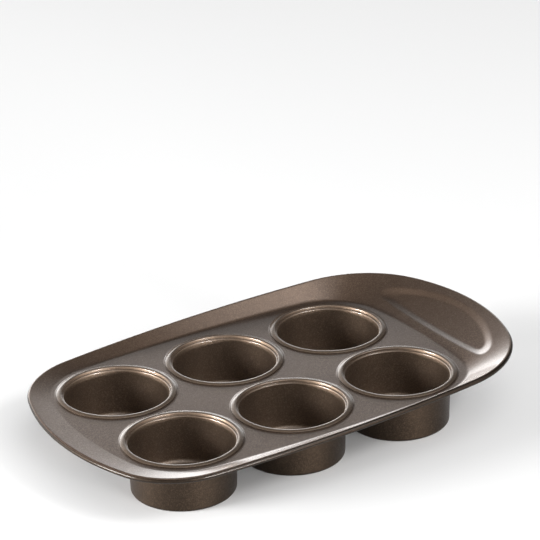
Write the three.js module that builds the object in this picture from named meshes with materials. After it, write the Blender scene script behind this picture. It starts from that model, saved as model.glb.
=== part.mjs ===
// A six-cup muffin pan of coated steel sheet, in millimetres, with +Z up.
// The origin is at the middle of the pan's outer box, on the table that the cups stand on.
// +X points to the end with the wide thumb panel, and +Y to the back row of cups.
import * as THREE from 'three';
import { mergeVertices } from 'three/addons/utils/BufferGeometryUtils.js';

// Sheet and wire
const SHEET = 0.6;
const WIRE_DIAMETER = 1.6;
const WIRE_END_GAP = 1.5;
const WIRE_SIDES = 6;
const WIRE_STEPS = 76;

// Deck: the flat of the frame, with the cups in a square grid
const DECK_HEIGHT = 34;
const CUP_PITCH = 82.5;
const GRID_CENTRE_X = -13.7;
const COLUMNS = ['left', 'middle', 'right'];
const ROWS = ['front', 'back'];
const ROUND_STEPS = 28;

// Outlines: half of each, from the thumb end round to the plain end, as tangent arcs.
// Size is an arc's radius, and turn is in degrees.
// The two corners have no size: their radii follow from the length of the outline.
const RIM_THUMB_X = 159.4;
const RIM_PLAIN_X = -159.4;
const RIM_PIECES = [
  { size: 139.5, turn: 22.85, steps: 6 },
  { turn: 61.8, steps: 10 },
  { size: 1036, turn: 10.85, steps: 8 },
  { turn: 64.75, steps: 10 },
  { size: 180.5, turn: 19.75, steps: 5 },
];
const DECK_THUMB_X = 116.3;
const DECK_PLAIN_X = -144.4;
const DECK_PIECES = [
  { size: 400, turn: 7, steps: 6 },
  { turn: 78, steps: 24 },
  { size: 1000, turn: 10, steps: 12 },
  { turn: 72.5, steps: 24 },
  { size: 228, turn: 12.5, steps: 8 },
];

// Rolled rim: the centre of its bead above the deck's top at the two ends,
// and the turns round the bead, from its top outward, that the open curl goes through
const BEAD_RADIUS = 1.8;
const RIM_RISE_PLAIN_END = -0.8;
const RIM_RISE_THUMB_END = 10.9;
const CURL_TURNS = [0, 45, 90, 135, 180, 225, 280].map(THREE.MathUtils.degToRad);

// Flange from the deck to the rim, and the thumb panel's D-shaped hollow in it.
// Each step is a share of the flange's width, and says how much of the hollow's depth it has.
const HOLLOW_DEPTH = 2;
const HOLLOW_HALF_WIDTH = 53;
const HOLLOW_END_WALL = 6;
const FLANGE_STEPS = [
  { share: 0, sunk: 0 },
  { share: 0.15, sunk: 0 },
  { share: 0.25, sunk: 1 },
  { share: 0.76, sunk: 1 },
  { share: 0.88, sunk: 0 },
  { share: 1, sunk: 0 },
];

// Seam: the cup's lip is a half round hook over the frame's upturned collar.
// Heights here are above the deck's top.
const LIP_RADIUS = 36.8;
const LIP_CENTRE_HEIGHT = 0.6;
const LIP_HOOK = 1.45;
const LIP_STEPS = 4;
const COLLAR_FOOT_RADIUS = 39.6;
const COLLAR_RADIUS = 37.1;
const COLLAR_HEIGHT = 1.05;
const COLLAR_RAMP_RADIUS = 38.3;
const COLLAR_RAMP_HEIGHT = 0.22;
const COLLAR_BEND = 0.5;

// Cup below its lip: radii of the outside of the wall, and heights above the table
const WALL_TOP_RADIUS = 34.6;
const WALL_TOP_HEIGHT = DECK_HEIGHT - 1.9;
const SHOULDER_HEIGHT = DECK_HEIGHT - 0.75;
const WALL_FOOT_RADIUS = 33.8;
const FOOT_CORNER = 2.5;
const CORNER_STEPS = 2;

// Finishes
const COATING = { color: 0x6a5c54, roughness: 0.38, metalness: 0.75 };
const BARE_WIRE = { color: 0x9b9b98, roughness: 0.4, metalness: 0.9 };

// Direction to the left of a heading, which is inward on an outline walked anticlockwise
function leftOf(heading) {
  return new THREE.Vector2(-Math.sin(heading), Math.cos(heading));
}

// Points of an arc, from one angle to another, in a plane of radius and height
function arcPoints(radius, height, size, from, to, steps) {
  const points = [];
  for (let i = 0; i <= steps; i++) {
    const angle = from + ((to - from) * i) / steps;
    points.push(new THREE.Vector2(radius + size * Math.cos(angle), height + size * Math.sin(angle)));
  }
  return points;
}

// Closed outline, symmetric in the X axis, as stations with a point and an outward normal.
// An end point is linear in each piece's size, so the two corners' radii solve a pair of equations.
function outlineStations(startX, endX, pieces) {
  const missing = new THREE.Vector2(endX - startX, 0);
  const cornerMoves = [];
  let heading = Math.PI / 2;
  for (const piece of pieces) {
    const turn = THREE.MathUtils.degToRad(piece.turn);
    const move = leftOf(heading).sub(leftOf(heading + turn));
    if (piece.size === undefined) {
      cornerMoves.push(move);
    } else {
      missing.addScaledVector(move, -piece.size);
    }
    heading += turn;
  }
  const [first, second] = cornerMoves;
  const share = first.cross(second);
  const cornerSizes = [missing.cross(second) / share, first.cross(missing) / share];

  const half = [];
  const end = new THREE.Vector2(startX, 0);
  heading = Math.PI / 2;
  for (const piece of pieces) {
    const turn = THREE.MathUtils.degToRad(piece.turn);
    const size = piece.size ?? cornerSizes.shift();
    const start = end.clone();
    for (let i = 0; i <= piece.steps; i++) {
      const now = heading + (turn * i) / piece.steps;
      end.copy(start).addScaledVector(leftOf(heading).sub(leftOf(now)), size);
      if (i < piece.steps) {
        half.push({ point: end.clone(), normal: leftOf(now).negate() });
      }
    }
    heading += turn;
  }
  const plainEnd = { point: new THREE.Vector2(endX, 0), normal: new THREE.Vector2(-1, 0) };
  const mirror = new THREE.Vector2(1, -1);
  const otherHalf = half.slice(1).reverse().map(({ point, normal }) => ({
    point: point.clone().multiply(mirror),
    normal: normal.clone().multiply(mirror),
  }));
  return [...half, plainEnd, ...otherHalf];
}

// How far a ray goes before it meets a closed loop of points
function reachToLoop(origin, direction, loop) {
  let reach = Infinity;
  loop.forEach((corner, i) => {
    const edge = loop[(i + 1) % loop.length].clone().sub(corner);
    const toCorner = corner.clone().sub(origin);
    const across = direction.cross(edge);
    const along = toCorner.cross(direction) / across;
    const distance = toCorner.cross(edge) / across;
    if (along >= 0 && along <= 1 && distance > 0) {
      reach = Math.min(reach, distance);
    }
  });
  return reach;
}

// Height of the bead's centre above the deck, which climbs evenly to the thumb end
function rimRise(x) {
  return THREE.MathUtils.mapLinear(x, RIM_PLAIN_X, RIM_THUMB_X, RIM_RISE_PLAIN_END, RIM_RISE_THUMB_END);
}

// Share of the hollow's depth on one section of the thumb panel: full between its two rounded ends
function hollowShare(fold, bead) {
  const endDistance = HOLLOW_HALF_WIDTH - Math.abs(fold.y + bead.y) / 2;
  const share = THREE.MathUtils.clamp(endDistance / HOLLOW_END_WALL, 0, 1);
  return bead.x > DECK_THUMB_X ? share : 0;
}

// One section of the flange and rim: out along the top, round the curl, back along the underside
function rimSection({ point, normal }, deckLoop) {
  const reach = reachToLoop(point, normal.clone().negate(), deckLoop);
  const fold = point.clone().addScaledVector(normal, -reach);
  const rise = rimRise(point.x);
  const slope = Math.atan2(rise, reach) + Math.asin(BEAD_RADIUS / Math.hypot(reach, rise));
  const width = reach - BEAD_RADIUS * Math.sin(slope);
  const depth = HOLLOW_DEPTH * hollowShare(fold, point);
  const place = (across, height) =>
    new THREE.Vector3(fold.x + normal.x * across, fold.y + normal.y * across, DECK_HEIGHT + height);

  const top = FLANGE_STEPS.map(({ share, sunk }) =>
    place(share * width, share * width * Math.tan(slope) - sunk * depth));
  const underside = top.map((above) => above.clone().add(new THREE.Vector3(
    SHEET * Math.sin(slope) * normal.x,
    SHEET * Math.sin(slope) * normal.y,
    -SHEET * Math.cos(slope),
  )));
  underside[0] = place(SHEET * Math.tan(slope / 2), -SHEET);

  const curl = (radius) => CURL_TURNS.map((turn) =>
    place(reach + radius * Math.sin(turn), rise + radius * Math.cos(turn)));
  const outside = curl(BEAD_RADIUS);
  const inside = curl(BEAD_RADIUS - SHEET);
  return [...top, ...outside, ...inside.reverse(), ...underside.reverse()];
}

// One section of the collar round a hole: in and up along the top, over its edge, back underneath
function collarSection(centre, angle) {
  const inner = COLLAR_RADIUS - SHEET;
  const profile = [
    [COLLAR_FOOT_RADIUS, 0],
    [COLLAR_RAMP_RADIUS, COLLAR_RAMP_HEIGHT],
    [COLLAR_RADIUS + COLLAR_BEND / 2, COLLAR_RAMP_HEIGHT],
    [COLLAR_RADIUS, COLLAR_RAMP_HEIGHT + COLLAR_BEND / 2],
    [COLLAR_RADIUS, COLLAR_HEIGHT],
    [inner, COLLAR_HEIGHT],
    [inner, COLLAR_RAMP_HEIGHT],
    [inner + COLLAR_BEND, COLLAR_RAMP_HEIGHT - SHEET],
    [COLLAR_RAMP_RADIUS, COLLAR_RAMP_HEIGHT - SHEET],
    [COLLAR_FOOT_RADIUS, -SHEET],
  ];
  return profile.map(([radius, height]) => new THREE.Vector3(
    centre.x + radius * Math.cos(angle),
    centre.y + radius * Math.sin(angle),
    DECK_HEIGHT + height,
  ));
}

// Corners of the triangles between each section and the next, all the way round
function stitch(sections) {
  const corners = [];
  sections.forEach((here, i) => {
    const next = sections[(i + 1) % sections.length];
    for (let j = 0; j + 1 < here.length; j++) {
      corners.push(here[j], here[j + 1], next[j + 1]);
      corners.push(here[j], next[j + 1], next[j]);
    }
  });
  return corners;
}

// Corners of the flat's triangles, between the fold and the rings of the holes
function flat(fold, holes) {
  const faces = THREE.ShapeUtils.triangulateShape(fold, holes);
  const points = [fold, ...holes].flat();
  return faces.flatMap((face) => face.map((index) => points[index]));
}

// Frame: the flange and rim, six collars, and the two skins of the deck that join them
function frameGeometry(rimStations, cupCentres) {
  const deckStations = outlineStations(DECK_THUMB_X, DECK_PLAIN_X, DECK_PIECES);
  const deckLoop = deckStations.map(({ point }) => point);
  const rim = rimStations.map((station) => rimSection(station, deckLoop));
  const collars = cupCentres.map((centre) => {
    const sections = [];
    for (let i = 0; i < ROUND_STEPS; i++) {
      sections.push(collarSection(centre, (-2 * Math.PI * i) / ROUND_STEPS));
    }
    return sections;
  });
  const upper = flat(
    rim.map((section) => section[0]),
    collars.map((sections) => sections.map((section) => section[0])),
  );
  const lower = flat(
    rim.map((section) => section.at(-1)),
    collars.map((sections) => sections.map((section) => section.at(-1))),
  );
  const corners = [...stitch(rim), ...collars.flatMap(stitch), ...upper, ...lower.reverse()];
  const geometry = mergeVertices(new THREE.BufferGeometry().setFromPoints(corners));
  geometry.computeVertexNormals();
  return geometry;
}

// Cup: a turned profile of one sheet, up the outside, over the hooked lip and down the inside
function cupGeometry() {
  const lipHeight = DECK_HEIGHT + LIP_CENTRE_HEIGHT;
  const innerHook = LIP_HOOK - SHEET;
  const neck = LIP_RADIUS - innerHook;
  const innerTop = new THREE.Vector2(WALL_TOP_RADIUS - SHEET, WALL_TOP_HEIGHT + SHEET / 2);
  const innerNeck = new THREE.Vector2(LIP_RADIUS - LIP_HOOK, SHOULDER_HEIGHT + SHEET / 2);
  const cornerRadius = WALL_FOOT_RADIUS - FOOT_CORNER;
  const outsideCorner = arcPoints(cornerRadius, FOOT_CORNER, FOOT_CORNER, -Math.PI / 2, 0, CORNER_STEPS);
  const insideCorner = arcPoints(
    cornerRadius - SHEET, FOOT_CORNER + SHEET, FOOT_CORNER, 0, -Math.PI / 2, CORNER_STEPS);
  const profile = [
    new THREE.Vector2(0, 0),
    ...outsideCorner,
    new THREE.Vector2(WALL_TOP_RADIUS, WALL_TOP_HEIGHT),
    new THREE.Vector2(neck, SHOULDER_HEIGHT),
    ...arcPoints(LIP_RADIUS, lipHeight, innerHook, Math.PI, 0, LIP_STEPS),
    ...arcPoints(LIP_RADIUS, lipHeight, LIP_HOOK, 0, Math.PI, LIP_STEPS),
    innerNeck,
    innerTop,
    ...insideCorner,
    new THREE.Vector2(0, SHEET),
  ];
  return new THREE.LatheGeometry(profile, ROUND_STEPS).rotateX(Math.PI / 2);
}

// Wire: a round bar along the centre of the rim's bead, with its two ends butted at the plain end
function wireGeometry(rimStations) {
  const plainEnd = rimStations.length / 2;
  const ordered = [...rimStations.slice(plainEnd), ...rimStations.slice(0, plainEnd + 1)];
  const points = ordered.map(({ point }) =>
    new THREE.Vector3(point.x, point.y, DECK_HEIGHT + rimRise(point.x)));
  points[0].y -= WIRE_END_GAP / 2;
  points.at(-1).y += WIRE_END_GAP / 2;
  const section = new THREE.Shape().absarc(0, 0, WIRE_DIAMETER / 2, 0, 2 * Math.PI);
  return new THREE.ExtrudeGeometry(section, {
    curveSegments: WIRE_SIDES / 2,
    steps: WIRE_STEPS,
    extrudePath: new THREE.CatmullRomCurve3(points),
  });
}

// Named mesh of one piece
function piece(name, geometry, finish) {
  const mesh = new THREE.Mesh(geometry, new THREE.MeshStandardMaterial(finish));
  mesh.name = name;
  return mesh;
}

const rimStations = outlineStations(RIM_THUMB_X, RIM_PLAIN_X, RIM_PIECES);
const pan = new THREE.Group();
const cups = ROWS.flatMap((row, r) => COLUMNS.map((column, c) => {
  const cup = piece(`cup_${row}_${column}`, cupGeometry(), COATING);
  cup.position.set(GRID_CENTRE_X + (c - 1) * CUP_PITCH, (r - 0.5) * CUP_PITCH, 0);
  return cup;
}));
const cupCentres = cups.map((cup) => cup.position);
pan.add(piece('pan_frame', frameGeometry(rimStations, cupCentres), COATING));
pan.add(...cups);
pan.add(piece('rim_wire', wireGeometry(rimStations), BARE_WIRE));

export default pan;
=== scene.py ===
# %% [markdown]
# # A muffin pan in coated steel
# The pan is pressed from thin steel sheet: one frame with a rolled rim and a thumb panel, and deep
# cups whose lips are curled over collars in the frame. The packed model fixes every place and size,
# so it is loaded first and never moved. Its solids are faceted, so each sheet is built again here as
# a fine smooth mesh in the same place, and that mesh stands for the solid.

# %% Load the packed frame
import math
import bmesh
import bpy
from mathutils import Matrix, Vector


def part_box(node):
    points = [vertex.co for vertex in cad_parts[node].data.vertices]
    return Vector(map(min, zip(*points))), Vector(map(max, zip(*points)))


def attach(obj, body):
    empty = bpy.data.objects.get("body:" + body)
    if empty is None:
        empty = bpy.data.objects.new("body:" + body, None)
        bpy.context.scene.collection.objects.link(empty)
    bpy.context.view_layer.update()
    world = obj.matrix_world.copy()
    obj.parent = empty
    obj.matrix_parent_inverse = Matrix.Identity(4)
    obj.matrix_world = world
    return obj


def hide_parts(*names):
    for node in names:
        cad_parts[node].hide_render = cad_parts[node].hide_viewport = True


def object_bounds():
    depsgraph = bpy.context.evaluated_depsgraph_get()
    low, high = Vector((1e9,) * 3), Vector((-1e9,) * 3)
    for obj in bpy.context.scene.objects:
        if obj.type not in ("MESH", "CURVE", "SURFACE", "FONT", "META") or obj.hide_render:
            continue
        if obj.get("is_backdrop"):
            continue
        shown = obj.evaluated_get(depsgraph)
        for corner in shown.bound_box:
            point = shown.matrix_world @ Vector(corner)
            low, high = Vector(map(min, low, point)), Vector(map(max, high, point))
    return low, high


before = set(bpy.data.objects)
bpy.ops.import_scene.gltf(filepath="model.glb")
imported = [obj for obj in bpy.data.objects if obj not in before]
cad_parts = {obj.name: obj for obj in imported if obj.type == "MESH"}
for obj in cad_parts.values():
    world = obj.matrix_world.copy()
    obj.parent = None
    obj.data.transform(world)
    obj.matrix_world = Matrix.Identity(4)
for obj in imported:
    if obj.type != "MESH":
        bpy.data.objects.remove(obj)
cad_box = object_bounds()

MM = 0.001
CUP_NODES = sorted(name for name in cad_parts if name.startswith("cup_"))
print("loaded", sorted(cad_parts))
print("box in mm", [round(side / MM, 1) for side in cad_box[1] - cad_box[0]])

# %% [markdown]
# ## The camera
# The view comes first, because it says how much of each surface shows. A long lens from a little
# over two metres gives the flat perspective of a product picture. The pan fills the lower part of
# the frame, so the camera aims at a point behind the pan instead of using a lens shift. Building the
# rotation from three axes allows the slight roll of the picture, which a track-to constraint doesn't.

# %% Camera
AIM = Vector((89.6, 147.1, 34)) * MM
CAMERA_DISTANCE = 2155.7 * MM
AZIMUTH = math.radians(-31.81)
ELEVATION = math.radians(24.04)
ROLL = math.radians(-1.69)
LENS = 203.2
SENSOR = 36


def direction(azimuth, elevation):
    """Unit vector from the pan towards a place round it: azimuth 0 is the front, at -Y."""
    level = math.cos(elevation)
    return Vector((math.sin(azimuth) * level, -math.cos(azimuth) * level, math.sin(elevation)))


def facing(back, roll=0):
    """Rotation whose local Z points along back and whose local Y points up."""
    right = Vector((0, 0, 1)).cross(back).normalized()
    turn = Matrix((right, back.cross(right), back)).transposed()
    return turn @ Matrix.Rotation(roll, 3, "Z")


def add_object(name, data):
    """Puts a camera, a mesh, a curve or a lamp into the scene."""
    made = bpy.data.objects.new(name, data)
    bpy.context.scene.collection.objects.link(made)
    return made


def add_camera():
    data = bpy.data.cameras.new("photo_camera")
    data.lens = LENS
    data.sensor_width = SENSOR
    camera = add_object("photo_camera", data)
    back = direction(AZIMUTH, ELEVATION)
    turn = facing(back, ROLL).to_4x4()
    camera.matrix_world = Matrix.Translation(AIM + CAMERA_DISTANCE * back) @ turn
    bpy.context.scene.camera = camera
    return camera


camera = add_camera()
print("camera at", [round(x, 3) for x in camera.matrix_world.translation])

# %% [markdown]
# ## Shader maths as Python
# A finish is a sum of small patterns, and nodes are easier to read as an expression than as a list
# of links. This class wraps one output socket. Its operators add Math nodes, and its node method adds
# any other node: first the settings, then the values or links of the node's sockets.

# %% Sockets in expressions
class Value:
    """An output socket of a node tree, for use in expressions."""

    def __init__(self, tree, socket):
        self.tree = tree
        self.socket = socket

    def node(self, kind, settings, inputs, output=0):
        """Adds a node and gives one of its outputs."""
        made = self.tree.nodes.new(kind)
        for name, setting in settings.items():
            setattr(made, name, setting)
        for name, source in inputs.items():
            if isinstance(source, Value):
                self.tree.links.new(source.socket, made.inputs[name])
            else:
                made.inputs[name].default_value = source
        return Value(self.tree, made.outputs[output])

    def maths(self, operation, *terms):
        """Adds a Math node for these terms, which are values or numbers."""
        return self.node("ShaderNodeMath", {"operation": operation}, dict(enumerate(terms)))

    def mix(self, first, second):
        """A colour between two, with this value as the share of the second.

        A Mix node has sockets for each type of data: 6, 7 and output 2 are the ones for colours.
        """
        settings = {"data_type": "RGBA"}
        return self.node("ShaderNodeMix", settings, {0: self, 6: first, 7: second}, output=2)

    def __add__(self, other):
        return self.maths("ADD", self, other)

    def __radd__(self, other):
        return self.maths("ADD", other, self)

    def __sub__(self, other):
        return self.maths("SUBTRACT", self, other)

    def __rsub__(self, other):
        return self.maths("SUBTRACT", other, self)

    def __mul__(self, other):
        return self.maths("MULTIPLY", self, other)

    def __rmul__(self, other):
        return self.maths("MULTIPLY", other, self)

    def __truediv__(self, other):
        return self.maths("DIVIDE", self, other)

    def __rtruediv__(self, other):
        return self.maths("DIVIDE", other, self)

    def __pow__(self, other):
        return self.maths("POWER", self, other)

    def __rpow__(self, other):
        return self.maths("POWER", other, self)

    def feed(self, shader, name):
        """Links this socket into one of a shader's own sockets."""
        self.tree.links.new(self.socket, shader.inputs[name])


def new_material(name):
    """A material, its shader, and the object coordinates that its patterns start from."""
    material = bpy.data.materials.new(name)
    material.use_nodes = True
    tree = material.node_tree
    shader = tree.nodes["Principled BSDF"]
    place = Value(tree, tree.nodes.new("ShaderNodeTexCoord").outputs["Object"])
    return material, shader, place


print("operators:", sorted(name for name in vars(Value) if name.startswith("__") and name != "__init__"))

# %% [markdown]
# ## The coating
# The steel is sprayed with a dark bronze non-stick coating. Tiny metal flakes lie in it at slightly
# different tilts, so it glitters where light grazes it, and a smooth clear layer on top mirrors the
# pale room at shallow angles. That is how car paint is made too, and the shader copies it: a rough
# metallic base with a random tilt and brightness for each flake, under a smoother clear coat. The
# flakes are cells of a Voronoi pattern, because each cell has one random colour that serves for both.
# Frame and cups are coated before they are joined, so each has its own mix; the cups' mix is lighter,
# partly their own hue and partly painted light that brightens their insides. Their backs get a darker
# coat with less clear layer, which is painted shade for the dark surroundings they mirror. It begins at
# the crest of the rim on the frame and at the lip's edge on a cup.

# %% Coating
FLAKE_SIZE = 0.5 * MM
FLAKE_POWER = 3
FLAKE_ROUGH = 0.06
MOTTLE_SIZE = 9 * MM
MOTTLE_PALE = 0.06
MOTTLE_ROUGH = 0.02
PEEL_SIZE = 2.2 * MM
PEEL_DEPTH = 0.002 * MM
CLEAR_ROUGH = 0.17
MEAN_COLOUR = (0.5, 0.5, 0.5)


def coating(name, dark, pale, rough, tilt, sparkle, clear):
    """A coat with flakes: tilt says how far they lean, and sparkle how pale the palest ones are."""
    material, shader, place = new_material(name)
    cells = {"Vector": place, "Scale": 1 / FLAKE_SIZE}
    flake = place.node("ShaderNodeTexVoronoi", {}, cells, "Color")
    mottle = place.node("ShaderNodeTexNoise", {}, {"Vector": place, "Scale": 1 / MOTTLE_SIZE})
    peel = place.node("ShaderNodeTexNoise", {}, {"Vector": place, "Scale": 1 / PEEL_SIZE})

    red, green = [flake.node("ShaderNodeSeparateColor", {}, {"Color": flake}, i) for i in range(2)]
    paleness = sparkle * red ** FLAKE_POWER + MOTTLE_PALE * mottle
    paleness.mix(dark, pale).feed(shader, "Base Color")
    (rough + FLAKE_ROUGH * green + MOTTLE_ROUGH * mottle).feed(shader, "Roughness")

    skin = peel.node("ShaderNodeBump", {}, {"Height": peel, "Distance": PEEL_DEPTH})
    lean = flake.node("ShaderNodeVectorMath", {"operation": "SUBTRACT"}, {0: flake, 1: MEAN_COLOUR})
    lean = lean.node("ShaderNodeVectorMath", {"operation": "SCALE"}, {0: lean, "Scale": tilt})
    tipped = skin.node("ShaderNodeVectorMath", {"operation": "ADD"}, {0: skin, 1: lean})
    tipped.node("ShaderNodeVectorMath", {"operation": "NORMALIZE"}, {0: tipped}).feed(shader, "Normal")

    shader.inputs["Metallic"].default_value = 1
    shader.inputs["Coat Weight"].default_value = clear
    shader.inputs["Coat Roughness"].default_value = CLEAR_ROUGH
    return material


BRONZE = (0.129, 0.085, 0.061, 1)
# The cups' brown is their own hue, made lighter as painted light for the inside of the cups.
BROWN_AND_PAINTED_LIGHT = (0.142, 0.102, 0.074, 1)
PALE_FLAKE = (0.42, 0.30, 0.21, 1)
# The umber colours of the backs are painted shade: darker than the face, for the dark surroundings that
# the undersides, the outsides of the cups and the bead mirror.
UMBER_PAINTED_SHADE = (0.026, 0.018, 0.0125, 1)
UMBER_FLAKE_PAINTED_SHADE = (0.13, 0.09, 0.062, 1)
DARK_UMBER_PAINTED_SHADE = (0.013, 0.009, 0.0062, 1)
DARK_FLAKE_PAINTED_SHADE = (0.06, 0.041, 0.029, 1)
frame_face = coating("frame_face", BRONZE, PALE_FLAKE, rough=0.46, tilt=0.13, sparkle=0.28, clear=1)
cup_face_and_painted_light = coating("cup_face_and_painted_light", BROWN_AND_PAINTED_LIGHT, PALE_FLAKE, rough=0.52, tilt=0.18, sparkle=0.3, clear=1)
frame_back_painted_shade = coating("frame_back_painted_shade", DARK_UMBER_PAINTED_SHADE, DARK_FLAKE_PAINTED_SHADE, rough=0.52, tilt=0.2, sparkle=0.3, clear=0.2)
cup_back_painted_shade = coating("cup_back_painted_shade", UMBER_PAINTED_SHADE, UMBER_FLAKE_PAINTED_SHADE, rough=0.45, tilt=0.1, sparkle=0.25, clear=0.1)
print("coatings:", [finish.name for finish in (frame_face, cup_face_and_painted_light, frame_back_painted_shade, cup_back_painted_shade)])

# %% [markdown]
# ## Outlines made of tangent arcs
# Seen from above, the rim is a soft rectangle: a round end at the thumb panel, a flatter one
# opposite, long sides that bow a little, and corners that join them. A chain of arcs that share a
# tangent at each joint draws it with a handful of numbers. Where each arc ends is linear in the
# radii, so the two corner radii can be solved from the length of the pan, and nothing is left open.

# %% Outlines
# Each arc is (radius, turn in degrees, spacing of its stations). A radius of None is solved.
RIM_ENDS = (159.4 * MM, -159.4 * MM)
RIM_PIECES = [
    (139.5 * MM, 22.85, 1.0 * MM),
    (None, 61.8, 1.0 * MM),
    (1036 * MM, 10.85, 4 * MM),
    (None, 64.75, 2 * MM),
    (180.5 * MM, 19.75, 3 * MM),
]
DECK_ENDS = (116.3 * MM, -144.4 * MM)
DECK_PIECES = [
    (400 * MM, 7, 4 * MM),
    (None, 78, 1 * MM),
    (1000 * MM, 10, 4 * MM),
    (None, 72.5, 1 * MM),
    (228 * MM, 12.5, 4 * MM),
]


def left_of(heading):
    """Unit vector to the left of a heading."""
    return Vector((-math.sin(heading), math.cos(heading)))


def run(heading, turn, share=1):
    """How far a share of an arc goes, for each metre of its radius."""
    return left_of(heading) - left_of(heading + turn * share)


def corner_radii(ends, pieces):
    """Radii of the two open arcs, for a chain that goes from one end of the pan to the other."""
    missing = Vector((ends[1] - ends[0], 0))
    corners = []
    heading = math.pi / 2
    for size, degrees, spacing in pieces:
        turn = math.radians(degrees)
        if size is None:
            corners.append(run(heading, turn))
        else:
            missing -= size * run(heading, turn)
        heading += turn
    first, second = corners
    scale = first.cross(second)
    return [missing.cross(second) / scale, first.cross(missing) / scale]


def outline(ends, pieces):
    """Stations round a closed outline: each is a point and an outward normal."""
    radii = corner_radii(ends, pieces)
    half = []
    start = Vector((ends[0], 0))
    heading = math.pi / 2
    for size, degrees, spacing in pieces:
        turn = math.radians(degrees)
        size = radii.pop(0) if size is None else size
        steps = math.ceil(size * turn / spacing)
        for i in range(steps):
            share = i / steps
            half.append((start + size * run(heading, turn, share), -left_of(heading + turn * share)))
        start = start + size * run(heading, turn)
        heading += turn
    far_end = (Vector((ends[1], 0)), Vector((-1, 0)))
    other = [(Vector((p.x, -p.y)), Vector((n.x, -n.y))) for p, n in reversed(half[1:])]
    return half + [far_end] + other


rim_stations = outline(RIM_ENDS, RIM_PIECES)
deck_edge = [point for point, normal in outline(DECK_ENDS, DECK_PIECES)]
print("rim stations", len(rim_stations), "corner radii in mm",
      [round(r / MM, 1) for r in corner_radii(RIM_ENDS, RIM_PIECES)])

# %% [markdown]
# ## Rounded profiles
# A pressed sheet has no sharp bends. Each section is drawn as a few straight runs, and every corner
# gets its own radius, as on a workshop drawing. A lip is then a short list of corners, and a tighter
# bend is one changed number. Each bend gets enough points that smooth shading hides them.

# %% Rounded profiles
BEND_STEP = math.radians(11)


def rounded(corners):
    """Points along straight runs: each corner is (across, up, bend radius)."""
    points = []
    for i, (across, up, radius) in enumerate(corners):
        here = Vector((across, up))
        if i in (0, len(corners) - 1) or radius == 0:
            points.append(here)
            continue
        back = (Vector(corners[i - 1][:2]) - here).normalized()
        ahead = (Vector(corners[i + 1][:2]) - here).normalized()
        half_angle = back.angle(ahead) / 2
        centre = here + (back + ahead).normalized() * radius / math.sin(half_angle)
        first = here + back * radius / math.tan(half_angle) - centre
        turn = (math.pi - 2 * half_angle) * (1 if back.cross(ahead) < 0 else -1)
        steps = max(2, math.ceil(abs(turn) / BEND_STEP))
        for k in range(steps + 1):
            points.append(centre + Matrix.Rotation(turn * k / steps, 2) @ first)
    return points


print("a square corner takes", len(rounded([(0, 0, 0), (1, 0, 0.5), (1, 1, 0)])) - 2, "points")

# %% [markdown]
# ## The thumb panel's hollow
# At one end the flange is wide enough to hold the pan by, and a shallow D is pressed into it for the
# thumb. A boolean would leave sharp edges, so the D is a formula for the depth at any place: inside a
# straight edge and inside an arc, with the corner between them rounded off. Distances from both are
# counted in widths of their walls, so one curve shapes every wall. The D runs out a little towards
# the rim, and the mesh of the flange is then just pushed down by that depth.

# %% Hollow of the thumb panel
HOLLOW_EDGE_X = 125.2 * MM
HOLLOW_EDGE_WIDTH = 7.6 * MM
HOLLOW_ARC_X = 61.8 * MM
HOLLOW_ARC_RADIUS = 89.6 * MM
HOLLOW_ARC_WIDTH = 5.4 * MM
HOLLOW_DEPTH = 2.2 * MM
HOLLOW_TAPER = 0.04
# The corner and the bends are in widths of a wall.
HOLLOW_CORNER = 1.6
HOLLOW_BEND = 0.2


def ease(share):
    """Climbs evenly from 0 to 1, with rounded ends."""
    if share > 0.5:
        return 1 - ease(1 - share)
    bend = min(max(share, 0), HOLLOW_BEND)
    return (max(share, 0) - bend + bend * bend / (2 * HOLLOW_BEND)) / (1 - HOLLOW_BEND)


def hollow_depth(point):
    """Depth of the D at a point in plan. Its walls are centred on the edge and the arc."""
    from_edge = (point.x - HOLLOW_EDGE_X) / HOLLOW_EDGE_WIDTH
    from_arc = (HOLLOW_ARC_RADIUS - math.hypot(point.x - HOLLOW_ARC_X, point.y)) / HOLLOW_ARC_WIDTH
    short = [max(HOLLOW_CORNER - distance, 0) for distance in (from_edge, from_arc)]
    inside = max(HOLLOW_CORNER, min(from_edge, from_arc)) - math.hypot(*short)
    depth = HOLLOW_DEPTH - HOLLOW_TAPER * (point.x - HOLLOW_EDGE_X)
    return depth * ease(inside + 0.5)


hollow_middle = Vector(((HOLLOW_EDGE_X + HOLLOW_ARC_X + HOLLOW_ARC_RADIUS) / 2, 0))
print("depth in mm at the middle of the hollow", round(hollow_depth(hollow_middle) / MM, 2))

# %% [markdown]
# ## The frame
# The frame is one sheet. Its flat deck has a hole for each cup, with a low collar turned up round it.
# Outside the deck a flange climbs to the rim, where the sheet curls round a wire. Its section changes
# all the way round, so it is lofted: one section per station, each a run along the top, round the
# curl, and back underneath. A boolean or a subdivided cage would blur the curl, which is only a few
# millimetres thick. The flange leaves the fold and meets the bead on a tangent, so no line shows there.

# %% Flange sections
SHEET = 0.6 * MM
DECK_TOP = 34 * MM
BEAD_RADIUS = 1.8 * MM
RIM_RISE = (10.9 * MM, -0.8 * MM)
CURL_END = math.radians(280)
CURL_STEPS = 26
INNER_CURL_STEPS = 16
CREST_STEPS = 3
FOLD_RADIUS = 7 * MM
FOLD_STEPS = 8
FLANGE_STEPS = 45
UNDERSIDE_STEPS = 22
FLAT_MARGIN = 0.6 * MM
SLACK = 1e-6


def rim_rise(x):
    """Height of the bead's centre line over the deck, which climbs evenly to the thumb panel's end."""
    climb = (x - RIM_ENDS[1]) / (RIM_ENDS[0] - RIM_ENDS[1])
    return RIM_RISE[1] + (RIM_RISE[0] - RIM_RISE[1]) * climb


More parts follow.
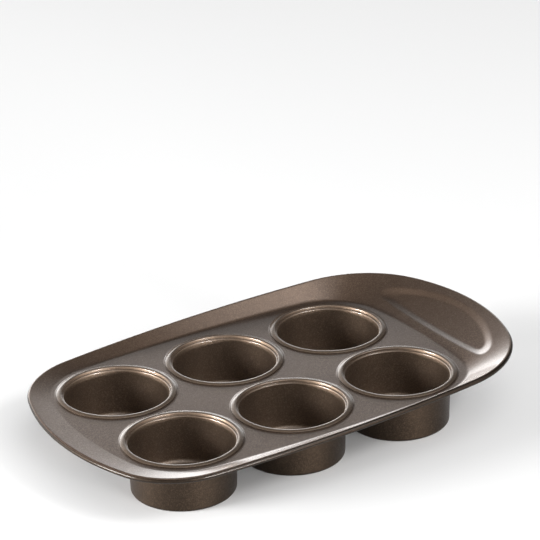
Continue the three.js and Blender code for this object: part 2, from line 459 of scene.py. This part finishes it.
def reach_to_deck(bead, normal):
    """Distance inward from the bead's centre line to the edge of the deck."""
    reach = math.inf
    for here, ahead in zip(deck_edge, deck_edge[1:] + deck_edge[:1]):
        edge = ahead - here
        across = edge.cross(normal)
        along = normal.cross(here - bead) / across
        distance = edge.cross(here - bead) / across
        if -SLACK <= along <= 1 + SLACK and distance < 0:
            reach = min(reach, -distance)
    return reach


def flange_section(bead, normal):
    """Points of one section, from the deck's top out round the curl and back to its underside."""
    reach = reach_to_deck(bead, normal)
    fold = bead - normal * reach
    rise = rim_rise(bead.x)
    slope = math.atan2(rise, reach) + math.asin(BEAD_RADIUS / math.hypot(reach, rise))
    inset = FOLD_RADIUS * math.tan(slope / 2)

    def place(across, height, sink=False):
        plan = fold + normal * across
        depth = hollow_depth(plan) if sink else 0
        return Vector((plan.x, plan.y, DECK_TOP + height - depth))

    def skin(below, steps):
        """The flat, the fold and the flange, at a depth below the sheet's top face."""
        radius = FOLD_RADIUS + below
        points = [place(-inset - FLAT_MARGIN, -below)]
        for i in range(FOLD_STEPS + 1):
            angle = slope * i / FOLD_STEPS
            height = FOLD_RADIUS - radius * math.cos(angle)
            points.append(place(radius * math.sin(angle) - inset, height))
        start = Vector((radius * math.sin(slope) - inset, FOLD_RADIUS - radius * math.cos(slope)))
        bead_radius = BEAD_RADIUS - below
        end = Vector((reach - bead_radius * math.sin(slope), rise + bead_radius * math.cos(slope)))
        for i in range(1, steps + 1):
            point = start.lerp(end, i / steps)
            points.append(place(point.x, point.y, sink=True))
        return points

    def curl(radius, steps):
        turns = [i / steps * (CURL_END + slope) - slope for i in range(1, steps + 1)]
        return [place(reach + radius * math.sin(t), rise + radius * math.cos(t)) for t in turns]

    bead_round = curl(BEAD_RADIUS, CURL_STEPS)
    # Past the crest the bead takes the back finish, so its outer face shows painted shade.
    face = skin(0, FLANGE_STEPS) + bead_round[:CREST_STEPS]
    back = skin(SHEET, UNDERSIDE_STEPS) + curl(BEAD_RADIUS - SHEET, INNER_CURL_STEPS)
    return face, bead_round[CREST_STEPS:] + back[::-1]


flange_sections = [flange_section(bead, normal) for bead, normal in rim_stations]
print("flange sections", len(flange_sections))
print("points on face and back", [len(side) for side in flange_sections[0]])

# %% [markdown]
# The collars are turned, so their section is one rounded profile, swung round each cup's axis. A spin
# tool could do that, but collars, flange and cups all come as rows of points, so one loft serves for
# them all: it joins each row to the next, and gives the face and the back of the sheet their finishes.

# %% Turned sections and lofts
# Corners of the collar in mm: from the cup's axis, above the deck, and the bend's radius.
COLLAR_FACE = [
    (40.9, 0, 0),
    (40.4, 0, 1.0),
    (39.6, 0.32, 0.2),
    (39.45, 0.1, 0.08),
    (37.05, 0.1, 0.2),
    (37.05, 0.35, 0),
]
COLLAR_BACK = [
    (36.45, 0.35, 0),
    (36.45, -0.5, 0.3),
    (39.3, -0.5, 0.6),
    (39.7, -0.3, 0.4),
    (40.4, -0.6, 1.0),
    (40.9, -0.6, 0),
]
ROUND_STEPS = 108


def cup_centre(node):
    low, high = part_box(node)
    return Vector(((low.x + high.x) / 2, (low.y + high.y) / 2, 0))


def turned(face, back, centre):
    """Sections round a vertical axis, one for each angle: points of the face and of the back."""
    sides = [[point * MM for point in rounded(corners)] for corners in (face, back)]
    found = []
    for i in range(ROUND_STEPS):
        angle = 2 * math.pi * i / ROUND_STEPS
        spoke = Vector((math.cos(angle), math.sin(angle), 0))
        found.append([[centre + spoke * p.x + Vector((0, 0, p.y)) for p in side] for side in sides])
    return found


def loft(mesh, sections):
    """Faces between each section and the next, all the way round. Gives the rows of vertices."""
    turn = len(sections[0][0])
    rows = [[mesh.verts.new(point) for point in face + back] for face, back in sections]
    for here, ahead in zip(rows, rows[1:] + rows[:1]):
        for j in range(len(here) - 1):
            quad = mesh.faces.new((here[j], here[j + 1], ahead[j + 1], ahead[j]))
            quad.material_index = int(j >= turn)
    return rows


print("points across a collar", len(rounded(COLLAR_FACE)) + len(rounded(COLLAR_BACK)))

# %% [markdown]
# The deck is filled between the loops that the flange and the collars start from. Each of them begins
# with a short flat margin, so that smooth shading doesn't tilt the flat. The places of the cups come
# from the packed model. A finished piece then takes the place of its solid and moves with its body.

# %% Frame mesh
SHARP_ANGLE = math.radians(35)


def fill_flat(mesh, loops, side):
    """Fills a flat outer loop that has holes in it."""
    edges = []
    for loop in loops:
        for here, ahead in zip(loop, loop[1:] + loop[:1]):
            edges.append(mesh.edges.get((here, ahead)) or mesh.edges.new((here, ahead)))
    filled = bmesh.ops.triangle_fill(mesh, edges=edges, use_beauty=True, normal=(0, 0, 1))
    for part in filled["geom"]:
        if isinstance(part, bmesh.types.BMFace):
            part.material_index = side


def finish_piece(name, mesh, finishes, slot, *nodes):
    """Turns a mesh into a piece that stands for CAD nodes, with a finish for its face and its back."""
    bmesh.ops.recalc_face_normals(mesh, faces=mesh.faces)
    data = bpy.data.meshes.new(name)
    mesh.to_mesh(data)
    mesh.free()
    data.polygons.foreach_set("use_smooth", [True] * len(data.polygons))
    data.set_sharp_from_angle(angle=SHARP_ANGLE)
    for finish in finishes:
        data.materials.append(finish)
    piece = add_object(name, data)
    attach(piece, "root")
    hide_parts(*nodes)
    return piece


def build_frame():
    mesh = bmesh.new()
    rings = [loft(mesh, flange_sections)]
    for node in CUP_NODES:
        seat = cup_centre(node) + Vector((0, 0, DECK_TOP))
        rings.append(loft(mesh, turned(COLLAR_FACE, COLLAR_BACK, seat)))
    for side, end in enumerate((0, -1)):
        fill_flat(mesh, [[row[end] for row in ring] for ring in rings], side)
    return finish_piece("frame_sheet", mesh, (frame_face, frame_back_painted_shade), "frame_coating", "pan_frame")


frame_sheet = build_frame()
print("frame sheet", len(frame_sheet.data.polygons), "faces")

# %% [markdown]
# ## The cups
# Each cup is drawn deep from a disc of sheet, so it is a turned form: flat base, rounded foot, a wall
# that opens slightly towards the top, a narrow ledge, and a low domed lip pressed down over the
# frame's collar. The profile goes up the inside, over the lip's crest, back under it and down the
# outside. The bends of the ledge and the foot are wide, because each catches a curved line of light.

# %% Cups
# Corners of the cup in mm: from its axis, above its base, and the bend's radius.
CUP_FACE = [
    (0, 0.6, 0),
    (33.2, 0.6, 3.4),
    (34.3, 33.75, 1.05),
    (35.45, 33.4, 0.12),
    (35.55, 35.05, 0.8),
    (37.0, 35.25, 1.3),
    (39.25, 34.68, 0),
]
CUP_BACK = [
    (39.35, 34.58, 0),
    (39.35, 34.15, 0),
    (38.75, 34.15, 0),
    (36.6, 34.67, 0.6),
    (36.05, 34.5, 0.2),
    (36.05, 32.75, 0.5),
    (34.9, 32.95, 0.3),
    (33.78, 0, 2.2),
    (0, 0, 0),
]


def build_cup(node):
    mesh = bmesh.new()
    rows = loft(mesh, turned(CUP_FACE, CUP_BACK, cup_centre(node)))
    for end in (0, -1):
        bmesh.ops.pointmerge(mesh, verts=[row[end] for row in rows], merge_co=rows[0][end].co)
    return finish_piece(node + "_sheet", mesh, (cup_face_and_painted_light, cup_back_painted_shade), "cup_coating", node)


cups = [build_cup(node) for node in CUP_NODES]
print("cups", [cup.name for cup in cups])

# %% [markdown]
# ## The rim's wire
# A steel wire stiffens the rolled rim. Hardly any of it shows: only from below, through the slit that
# the curl leaves. A curve with a round bevel is enough, with its ends butted at the plain end. Drawing
# leaves fine streaks on a wire, so its grey and its gloss follow one fine noise.

# %% Wire
WIRE_RADIUS = 0.8 * MM
WIRE_GAP = 1.5 * MM
WIRE_BEVEL_STEPS = 3
STREAKS_PER_METRE = 900
STREAK_DETAIL = 4
DULL_STEEL = (0.42, 0.42, 0.41, 1)
BRIGHT_STEEL = (0.6, 0.6, 0.58, 1)
WIRE_ROUGH = 0.3
STREAK_ROUGH = 0.2


def wire_steel():
    material, shader, place = new_material("drawn_wire")
    streaks = {"Vector": place, "Scale": STREAKS_PER_METRE, "Detail": STREAK_DETAIL}
    drawn = place.node("ShaderNodeTexNoise", {}, streaks)
    drawn.mix(DULL_STEEL, BRIGHT_STEEL).feed(shader, "Base Color")
    (WIRE_ROUGH + STREAK_ROUGH * drawn).feed(shader, "Roughness")
    shader.inputs["Metallic"].default_value = 1
    return material


def build_wire():
    data = bpy.data.curves.new("rim_wire_round", "CURVE")
    data.dimensions = "3D"
    data.bevel_depth = WIRE_RADIUS
    data.bevel_resolution = WIRE_BEVEL_STEPS
    data.use_fill_caps = True
    start = next(i for i, (point, normal) in enumerate(rim_stations) if normal.x == -1)
    order = rim_stations[start:] + rim_stations[:start + 1]
    spline = data.splines.new("POLY")
    spline.points.add(len(order) - 1)
    for knot, (point, normal) in zip(spline.points, order):
        knot.co = (point.x, point.y, DECK_TOP + rim_rise(point.x), 1)
    spline.points[0].co.y -= WIRE_GAP / 2
    spline.points[-1].co.y += WIRE_GAP / 2
    data.materials.append(wire_steel())
    wire = add_object("rim_wire_round", data)
    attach(wire, "root")
    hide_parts("rim_wire")
    return wire


wire = build_wire()
print("wire", len(wire.data.splines[0].points), "points")

# %% [markdown]
# ## The floor
# The pan stands on a plain pale floor, which keeps the pan's soft shadow and is all that shows behind
# it. It is a matt surface without any gloss, so that no lamp is mirrored beside the pan. It belongs to
# the picture and not to the part, so it is staged.

# %% Floor
FLOOR_SIZE = 8
FLOOR_COLOUR = (0.83, 0.83, 0.83, 1)


def add_floor():
    material, shader, _ = new_material("pale_floor")
    shader.inputs["Base Color"].default_value = FLOOR_COLOUR
    shader.inputs["Specular IOR Level"].default_value = 0
    data = bpy.data.meshes.new("floor")
    half = FLOOR_SIZE / 2
    corners = [(-half, -half, 0), (half, -half, 0), (half, half, 0), (-half, half, 0)]
    data.from_pydata(corners, [], [(0, 1, 2, 3)])
    data.materials.append(material)
    floor = add_object("floor", data)
    floor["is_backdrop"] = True


add_floor()
print("floor", FLOOR_SIZE, "m square")

# %% [markdown]
# ## The room
# What gives dark coated metal its form is what it mirrors, so the room matters more than the lamps. It
# is dim, with two soft places in it: a wash of light low behind the pan, which fades upwards and gives
# the deck and the flanges their sheen, and a glow high in front, which lights the back wall and the
# cups. Both are smooth steps of the angle from one direction, so that no edge of them shows in a flat.

# %% Room
ROOM_COLOUR = (1, 1, 1, 1)
ROOM_LEVEL = 0.07
WASH = {"azimuth": 185, "elevation": 0, "edge": 66, "middle": 30}
WASH_LEVEL = 34
WASH_TOP = 4.2
WASH_FALL = 0.1
GLOW = {"azimuth": 16, "elevation": 50, "edge": 52, "middle": 8}
GLOW_LEVEL = 1.6


def soft_patch(look, azimuth, elevation, edge, middle):
    """1 round one direction of the room and 0 away from it, with a smooth step between two angles."""
    axis = {0: look, 1: direction(math.radians(azimuth), math.radians(elevation))}
    toward = look.node("ShaderNodeVectorMath", {"operation": "DOT_PRODUCT"}, axis, "Value")
    low, high = [math.cos(math.radians(angle)) for angle in (edge, middle)]
    step = {"Value": toward, "From Min": low, "From Max": high}
    return toward.node("ShaderNodeMapRange", {"interpolation_type": "SMOOTHSTEP"}, step)


def add_room():
    world = bpy.data.worlds.new("pale_room")
    bpy.context.scene.world = world
    world.use_nodes = True
    tree = world.node_tree
    look = Value(tree, tree.nodes.new("ShaderNodeTexCoord").outputs["Generated"])
    up = look.node("ShaderNodeSeparateXYZ", {}, {"Vector": look}, "Z")
    fall = up.maths("EXPONENT", up / -WASH_FALL)
    wash = fall.maths("MINIMUM", WASH_LEVEL * fall, WASH_TOP)
    level = ROOM_LEVEL + wash * soft_patch(look, **WASH) + GLOW_LEVEL * soft_patch(look, **GLOW)
    level.feed(tree.nodes["Background"], "Strength")
    tree.nodes["Background"].inputs["Color"].default_value = ROOM_COLOUR


add_room()
print("room level", ROOM_LEVEL, "with up to", WASH_TOP, "more low behind the pan")

# %% [markdown]
# ## Soft boxes
# Soft boxes draw the bright lines on the lips and the wall inside each cup: a large one at the left,
# one high at the front right, and two low and wide ones near the floor for the outsides of the cups.
# Each is given by the brightness of its face, so a lamp keeps its look when its size changes.

# %% Soft boxes
PAN_MIDDLE = (cad_box[0] + cad_box[1]) / 2
BOX_DISTANCE = 2.4
SOFT_BOXES = {
    "right": {"azimuth": 28, "elevation": 42, "size": (0.7, 0.5), "level": 16},
    "left": {"azimuth": 255, "elevation": 20, "size": (1.1, 0.7), "level": 16},
    "left_low": {"azimuth": 256, "elevation": 2.6, "size": (1.1, 0.2), "level": 300},
    "front": {"azimuth": 7, "elevation": 2.6, "size": (0.9, 0.2), "level": 240},
}


def add_soft_box(name, azimuth, elevation, size, level):
    lamp = bpy.data.lights.new(name, "AREA")
    lamp.shape = "RECTANGLE"
    lamp.size, lamp.size_y = size
    lamp.energy = level * math.pi * size[0] * size[1]
    back = direction(math.radians(azimuth), math.radians(elevation))
    box = add_object(name, lamp)
    box.matrix_world = Matrix.Translation(PAN_MIDDLE + BOX_DISTANCE * back) @ facing(back).to_4x4()


for name, values in SOFT_BOXES.items():
    add_soft_box(name, **values)
bpy.context.scene.view_settings.view_transform = "Standard"
print("soft boxes", list(SOFT_BOXES))

# %% [markdown]
# ## Sizes
# The dressed pan is meant to stay inside the packed model's box, so both boxes are printed.

# %% Finish
boxes = {"cad": cad_box, "visual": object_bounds()}
for name, (low, high) in boxes.items():
    print(name, [round(x / MM, 2) for x in low], [round(x / MM, 2) for x in high])
